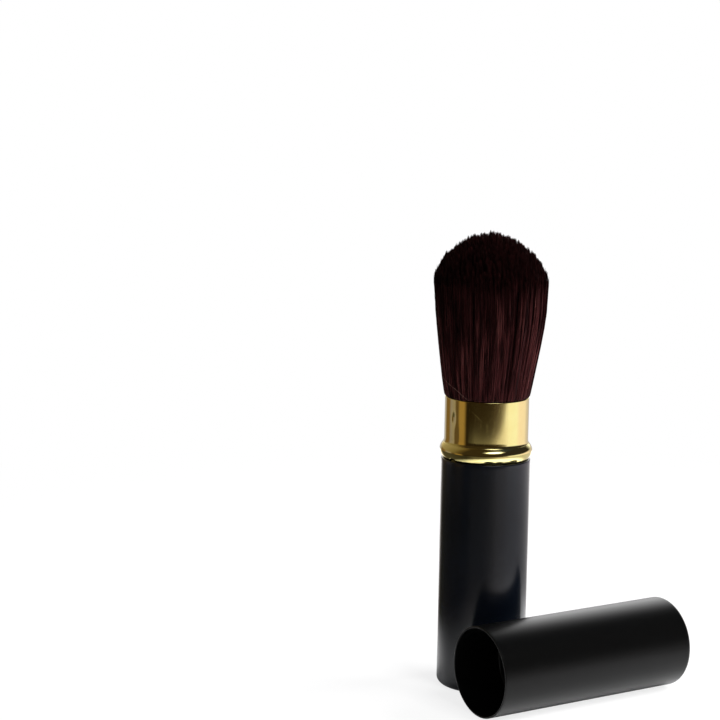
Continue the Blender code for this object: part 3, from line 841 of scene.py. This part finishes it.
def core_mesh(settings, start, end):
    """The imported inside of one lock: a wedge between two turns, just under the hair's own surface.

    Each ring is the point on the axis and five points of an arc. The radius follows the bundle up to the
    shoulder, and then the height follows the dome while the radius shrinks.
    """
    inside = np.linspace(HAIR_ROOT + 0.3 * MM, NECK_TOP - 0.3 * MM, 6)
    outside = np.linspace(NECK_TOP + 0.1 * MM, HAIR_TIP - settings.dome_height - 4.5 * MM, 22)
    side = np.append(inside, outside)
    radius = bundle_radius(side) - np.where(side > NECK_TOP, 1.2 * MM, 0.4 * MM)
    shrink = np.linspace(1, 0.03, 14)[1:]
    top = radius[-1] * shrink
    dome = side[-1] + settings.dome_height * (1 - shrink**2)
    radii, heights = np.append(radius, top), np.append(side, dome)
    turn = np.linspace(start, end, 5)
    place = np.hstack((np.zeros((len(radii), 1)), radii[:, None] * np.exp(1j * turn)))
    place = place + belly_lean(heights)[:, None]
    points = np.stack((place.real, place.imag, heights[:, None] * np.ones(place.shape)), axis=-1)
    rings, corners = place.shape
    faces, across, along = tube_faces(rings, corners)
    caps = np.stack((np.arange(corners)[::-1], (rings - 1) * corners + np.arange(corners)))
    sides = np.stack((across / corners, along / rings), axis=-1).reshape(-1, 2)
    spot = np.arange(corners) * 2 * math.pi / corners
    ends = np.tile(0.5 + 0.4 * np.stack((np.cos(spot), np.sin(spot)), axis=-1), (2, 1))
    return points.reshape(-1, 3), faces.reshape(-1, 4), caps, sides, ends


def joined(name, parts):
    """One mesh of all parts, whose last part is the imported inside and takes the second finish."""
    starts = np.cumsum([0] + [len(part[0]) for part in parts[:-1]])
    points = np.vstack([part[0] for part in parts])
    faces, corners = [], []
    for start, (_, quads, caps, sides, ends) in zip(starts, parts):
        faces += [quads + start, caps + start]
        corners += [sides, ends]
    piece = mesh_object(name, points, faces, np.concatenate(corners))
    inside = len(faces[-1]) + len(faces[-2])
    slots = np.zeros(len(piece.data.polygons), np.int32)
    slots[-inside:] = 1
    piece.data.polygons.foreach_set("material_index", slots)
    return piece


class BRUSH_OT_hair(bpy.types.Operator):
    """Build the hair bundle, lock by lock"""

    bl_idname = "makeup_brush.hair"
    bl_label = "Hair"

    def execute(self, context):
        settings = context.scene.brush_hair
        draw = np.random.default_rng(settings.seed)
        groups = [*hair_strands(settings, draw), loose_hair(settings, 15)]
        outside, inside = natural_hair(), packed_hair()
        width = 2 * math.pi / settings.locks
        for lock in range(settings.locks):
            parts = []
            for lines, *others in groups:
                middle = lines[:, lines.shape[1] // 2]
                spot = np.arctan2(middle[:, 1], middle[:, 0]) % (2 * math.pi)
                mine = (spot // width).astype(int) == lock
                parts.append(strand_mesh(lines[mine], *(values[mine] for values in others)))
            parts.append(core_mesh(settings, lock * width, (lock + 1) * width))
            piece = joined(f"hair_lock_{lock + 1:02d}", parts)
            fit(piece, "brush_head", outside, "bristles")
            piece.data.materials.append(inside)
            middle = (lock + 0.5) * width
            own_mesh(piece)
        return {"FINISHED"}


class BRUSH_OT_mechanism(bpy.types.Operator):
    """Give the pieces of the twist mechanism their finishes"""

    bl_idname = "makeup_brush.mechanism"
    bl_label = "Mechanism finishes"

    def execute(self, context):
        acetal = moulded("white_acetal", "E6E5DD", 0.42, 0.3, ior=1.48)
        finishes = {
            "base_core": moulded("black_abs", "121213", 0.55, 0.25),
            "base_weight": plain_metal("zinc_plated_steel", "AEB4BA", 0.38, (1.0, 1.0, 1.0)),
            "guide_tube": acetal,
            "thrust_washer": acetal,
            "neck_core": acetal,
            "brush_carrier": acetal,
            "friction_ring": moulded("grey_silicone", "77797C", 0.68, 0.15, ior=1.41),
            "brush_ferrule": plain_metal("plain_aluminium", "D4D6DA", 0.32, (1.0, 1.0, 0.04)),
            "glue_plug": cast_epoxy(),
        }
        finishes["cam_tube"] = finishes["base_core"]
        for name, finish in finishes.items():
            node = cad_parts[name]
            node.data.materials.clear()
            node.data.materials.append(finish)
        return {"FINISHED"}


def turn_about(tree, way):
    """A direction's turn round the brush: 0 behind, 0.25 left, 0.5 towards the camera, 0.75 right.

    It is the angle whose sine and cosine are the direction's parts to the right and to the front.
    """
    front = Vector((math.cos(FRONT_ANGLE), math.sin(FRONT_ANGLE), 0))
    right = Vector((-front.y, front.x, 0))
    parts = [add(tree, "VectorMath", (way, side), operation="DOT_PRODUCT") for side in (right, front)]
    turn = add(tree, "Math", parts, operation="ARCTAN2")
    return add(tree, "MapRange", (turn, -math.pi, math.pi))


def around(sights):
    """The stops of a ramp over turn_about, from degrees to the right of the camera."""
    return [((degrees + 180) / 360, value) for degrees, value in sights]


def by_ray(tree, even, mirrored, seen):
    """A shader that is one for light on the object, another for shiny surfaces and a third for the camera."""
    path = add(tree, "LightPath")
    rays = (path.outputs["Is Glossy Ray"], path.outputs["Is Transmission Ray"])
    shiny = add(tree, "Math", rays, operation="MAXIMUM")
    lit = add(tree, "MixShader", (shiny, even, mirrored))
    return add(tree, "MixShader", (path.outputs["Is Camera Ray"], lit, seen))


def floor_finish():
    """White paper that the camera sees almost white, with the brush's soft shadow.

    It goes over to plain white away from the brush. Shiny surfaces see the real paper near the brush. Further
    out they see it dim in front and to the left, where nothing lights it, and bright to the right and behind,
    and past its edge they see the room.
    """
    made, tree, shader = material("white_paper", {"Base Color": "EDEDED", "Roughness": 0.9})
    place = add(tree, "TexCoord").outputs["Object"]
    reach = add(tree, "VectorMath", (place,), operation="LENGTH")
    turn = turn_about(tree, place)

    plain = add(tree, "MapRange", (reach, 0.06, 0.3, 0.8, 1.0), **SMOOTH)
    white = add(tree, "Emission", ("FFFFFF", 1.0))
    seen = add(tree, "MixShader", (plain, shader, white))

    # How brightly the paper glows, by degrees to the right of the camera
    glows = ((-180, 3.0), (-162, 2.4), (-150, 0.7), (-140, 0.12), (-50, 0.05), (-40, 0.09), (-30, 0.18))
    glows += ((-8, 0.19), (8, 0.27), (22, 0.5), (32, 0.8), (50, 0.86), (62, 1.0), (150, 1.0), (180, 3.0))
    bright = add(tree, "ValToRGB", (turn,), stops=around(glows))
    warms = ((0.0, "FFF0C8"), (0.3, "FFF2DC"), (0.8, "FFF4EC"), (1.0, "FFFAFA"))
    warm = add(tree, "ValToRGB", (bright,), stops=warms)
    near = add(tree, "MapRange", (reach, 0.18, 0.32, 0.6, 1.0), **SMOOTH)
    bright = add(tree, "Math", (bright, near), operation="MULTIPLY")
    glow = add(tree, "Emission", (warm, bright))

    # How far out the paper ends, in metres
    edges = ((-180, 0.3), (-53, 0.3), (-47, 0.335), (0, 0.338), (14, 0.339), (30, 0.345), (40, 0.357))
    edges += ((50, 0.378), (57, 0.41), (64, 0.3), (180, 0.3))
    edge = add(tree, "ValToRGB", (turn,), stops=around(edges))
    beyond = add(tree, "Math", (reach, edge), operation="SUBTRACT")
    gone = add(tree, "MapRange", (beyond, -0.008, 0.012), **SMOOTH)
    clear = add(tree, "BsdfTransparent")

    # The real paper shows round a place between the body and the cap, and gives way to the glow there
    between = (0.016, -0.024, 0.0)
    apart = add(tree, "VectorMath", (place, between), operation="DISTANCE")
    away = add(tree, "MapRange", (apart, 0.052, 0.1), **SMOOTH)
    paper = add(tree, "MixShader", (away, shader, glow))
    mirrored = add(tree, "MixShader", (gone, paper, clear))
    feed(tree, tree.nodes["Material Output"], (by_ray(tree, shader, mirrored, seen),))
    return made


def room(settings):
    """The room: white for the camera, even light on the object, and things that shiny surfaces see.

    Level with the paper these are a dark room in front, white behind and to the right, and a few upright
    things to the left. Higher up it is dark, with dim patches overhead, light ones behind and to the left,
    and one soft window.
    """
    world = bpy.data.worlds.new("room")
    bpy.context.scene.world = world
    world.use_nodes = True
    tree = world.node_tree
    tree.nodes.clear()
    way = add(tree, "TexCoord").outputs["Generated"]
    turn = turn_about(tree, way)
    height = add(tree, "SeparateXYZ", (way,)).outputs["Z"]

    # Level with the paper, by degrees to the right of the camera
    wall, brown, olive, amber = "B8B4BE", "765C38", "5A4830", "977A4A"
    levels = ((-180, wall), (-152, wall), (-142, brown), (-124, brown), (-114, "8E8690"), (-98, "938880"))
    levels += ((-92, olive), (-85, olive), (-79, amber), (-65, amber), (-56, "241B0E"), (10, "281E10"))
    levels += ((21, "33281A"), (30, "3E3226"), (38, "4E4434"), (47, "7C7468"), (53, "A49C96"), (57, "D0C8C4"))
    levels += ((62, "FFFCFA"), (90, "FFFFFF"), (102, "FFEFFA"), (128, "FBECF2"), (142, "D8CCD0"), (180, wall))
    level = add(tree, "ValToRGB", (turn,), stops=around(levels))

    # Higher up: to the sides and behind by the sine of the elevation, and in front by the turn
    sides = ((0.0, "30302E"), (0.3, "2C2826"), (0.7, "2C2A2A"), (0.84, "303A46"))
    side = add(tree, "ValToRGB", (height,), stops=sides)
    rears = ((0.0, 0.9), (0.3, 1.3), (0.5, 1.5), (0.64, 1.3))
    rears += ((0.7, 0.66), (0.8, 0.38), (0.87, 0.17), (0.94, 0.06))
    rear = add(tree, "ValToRGB", (height,), stops=rears)
    fronts = ((-150, "9E9178"), (-118, "8C7F65"), (-90, "75684A"), (-74, "5A4A2C"), (-58, "342A1A"))
    front = add(tree, "ValToRGB", (turn,), stops=around(fronts))
    aside = add(tree, "Math", (turn, 0.5), operation="SUBTRACT")
    aside = add(tree, "Math", (aside,), operation="ABSOLUTE")
    behind = add(tree, "MapRange", (aside, 0.37, 0.46), **SMOOTH)
    aheads = ((-180, 0.0), (-168, 0.0), (-154, 1.0), (20, 1.0), (55, 0.0), (180, 0.0))
    ahead = add(tree, "ValToRGB", (turn,), stops=around(aheads))
    high = add(tree, "Mix", {"Factor": behind, "A": side, "B": rear}, data_type="RGBA")
    high = add(tree, "Mix", {"Factor": ahead, "A": high, "B": front}, data_type="RGBA")
    risen = add(tree, "MapRange", (height, -0.03, 0.12), **SMOOTH)
    sight = add(tree, "Mix", {"Factor": risen, "A": level, "B": high}, data_type="RGBA")

    # The window: full up to 0.35 of its reach from its middle, and gone at 1
    off_round = add(tree, "Math", (turn, (WINDOW_TURN + 180) / 360), operation="SUBTRACT")
    off_up = add(tree, "Math", (height, WINDOW_HEIGHT), operation="SUBTRACT")
    off = add(tree, "CombineXYZ", (off_round, off_up))
    off = add(tree, "Mapping", {"Vector": off, "Scale": (360 / WINDOW_ROUND, 1 / WINDOW_UP, 1.0)})
    off = add(tree, "VectorMath", (off,), operation="LENGTH")
    outside = add(tree, "MapRange", (off, 0.35, 1.0), **SMOOTH)
    sight = add(tree, "Mix", {"Factor": outside, "A": "FFFFFF", "B": sight}, data_type="RGBA")
    lifted = add(tree, "MapRange", (height, 0.0, 0.15), **SMOOTH)
    lit_rear = add(tree, "Math", (behind, lifted), operation="MULTIPLY")
    strength = add(tree, "MapRange", (off, 0.35, 1.0, settings.window, 1.0), **SMOOTH)
    strength = add(tree, "Math", (strength, lit_rear), operation="ADD")

    even = add(tree, "Background", ("FBFBFF", settings.daylight))
    mirrored = add(tree, "Background", (sight, strength))
    seen = add(tree, "Background", ("FFFFFF", 1.0))
    add(tree, "OutputWorld", (by_ray(tree, even, mirrored, seen),))


def lamp(name, turn, rise, distance, size, power):
    """A square soft light, so many degrees to the right of the camera and above the floor, aimed at the neck.

    Shiny surfaces don't see its square: the window in the room stands for it.
    """
    data = bpy.data.lights.new(name, "AREA")
    data.shape = "SQUARE"
    data.size = size
    data.energy = power
    made = bpy.data.objects.new(name, data)
    bpy.context.scene.collection.objects.link(made)
    at = FRONT_ANGLE + math.radians(turn)
    rise = math.radians(rise)
    way = Vector((math.cos(at) * math.cos(rise), math.sin(at) * math.cos(rise), math.sin(rise)))
    made.location = Vector((0, 0, RING_BOTTOM)) + way * distance
    made.rotation_mode = "QUATERNION"
    made.rotation_quaternion = way.to_track_quat("Z", "Y")
    made.visible_glossy = False


class BRUSH_OT_stage(bpy.types.Operator):
    """Set the floor, the light and the camera"""

    bl_idname = "makeup_brush.stage"
    bl_label = "Stage"

    def execute(self, context):
        settings = context.scene.brush_stage
        # The floor is one flat disc
        turn = np.linspace(0, 2 * math.pi, settings.floor_sides, endpoint=False)
        points = settings.floor_radius * np.column_stack((np.cos(turn), np.sin(turn), 0 * turn))
        floor = mesh_object("floor", points, [np.arange(len(turn))[None, :]], points[:, :2])
        floor.data.materials.append(floor_finish())

        room(settings)
        lamp("window", turn=42, rise=46, distance=0.6, size=0.22, power=3.4)
        lamp("side_light", turn=100, rise=28, distance=0.7, size=0.5, power=11.0)
        lamp("fill_light", turn=-35, rise=55, distance=0.9, size=0.7, power=0.3)

        camera = bpy.data.objects.new("camera", bpy.data.cameras.new("camera"))
        camera.data.lens = settings.lens
        camera.data.clip_start = 0.01
        camera.data.clip_end = 10.0
        camera.matrix_world = (
            Matrix.Translation(settings.camera_place)
            @ Matrix.Rotation(-settings.camera_turn, 4, "Z")
            @ Matrix.Rotation(math.pi / 2 - settings.camera_pitch, 4, "X")
            @ Matrix.Rotation(settings.camera_roll, 4, "Z")
        )
        context.scene.collection.objects.link(camera)
        context.scene.camera = camera
        context.scene.view_settings.view_transform = "Standard"
        return {"FINISHED"}


STEPS = (
    BRUSH_OT_body,
    BRUSH_OT_neck,
    BRUSH_OT_ring,
    BRUSH_OT_cap,
    BRUSH_OT_hair,
    BRUSH_OT_mechanism,
    BRUSH_OT_stage,
)
GROUPS = {
    "brush_shells": BrushShellSettings,
    "brush_neck": BrushNeckSettings,
    "brush_hair": BrushHairSettings,
    "brush_stage": BrushStageSettings,
}


class BRUSH_PT_panel(bpy.types.Panel):
    """The sizes, colours and building steps of the brush"""

    bl_label = "Makeup brush"
    bl_idname = "BRUSH_PT_panel"
    bl_space_type = "VIEW_3D"
    bl_region_type = "UI"
    bl_category = "Makeup brush"

    def draw(self, context):
        for name, group in GROUPS.items():
            box = self.layout.box()
            box.label(text=name.replace("_", " ").capitalize())
            for setting in group.__annotations__:
                box.prop(getattr(context.scene, name), setting)
        for step in STEPS:
            self.layout.operator(step.bl_idname)


def register():
    for group in GROUPS.values():
        bpy.utils.register_class(group)
    for name, group in GROUPS.items():
        setattr(bpy.types.Scene, name, bpy.props.PointerProperty(type=group))
    for step in STEPS:
        bpy.utils.register_class(step)
    bpy.utils.register_class(BRUSH_PT_panel)


def unregister():
    bpy.utils.unregister_class(BRUSH_PT_panel)
    for step in reversed(STEPS):
        bpy.utils.unregister_class(step)
    for name, group in GROUPS.items():
        delattr(bpy.types.Scene, name)
        bpy.utils.unregister_class(group)


def main():
    register()
    bpy.ops.makeup_brush.body()
    bpy.ops.makeup_brush.neck()
    bpy.ops.makeup_brush.ring()
    bpy.ops.makeup_brush.cap()
    bpy.ops.makeup_brush.hair()
    bpy.ops.makeup_brush.mechanism()
    bpy.ops.makeup_brush.stage()


if __name__ == "__main__":
    main()
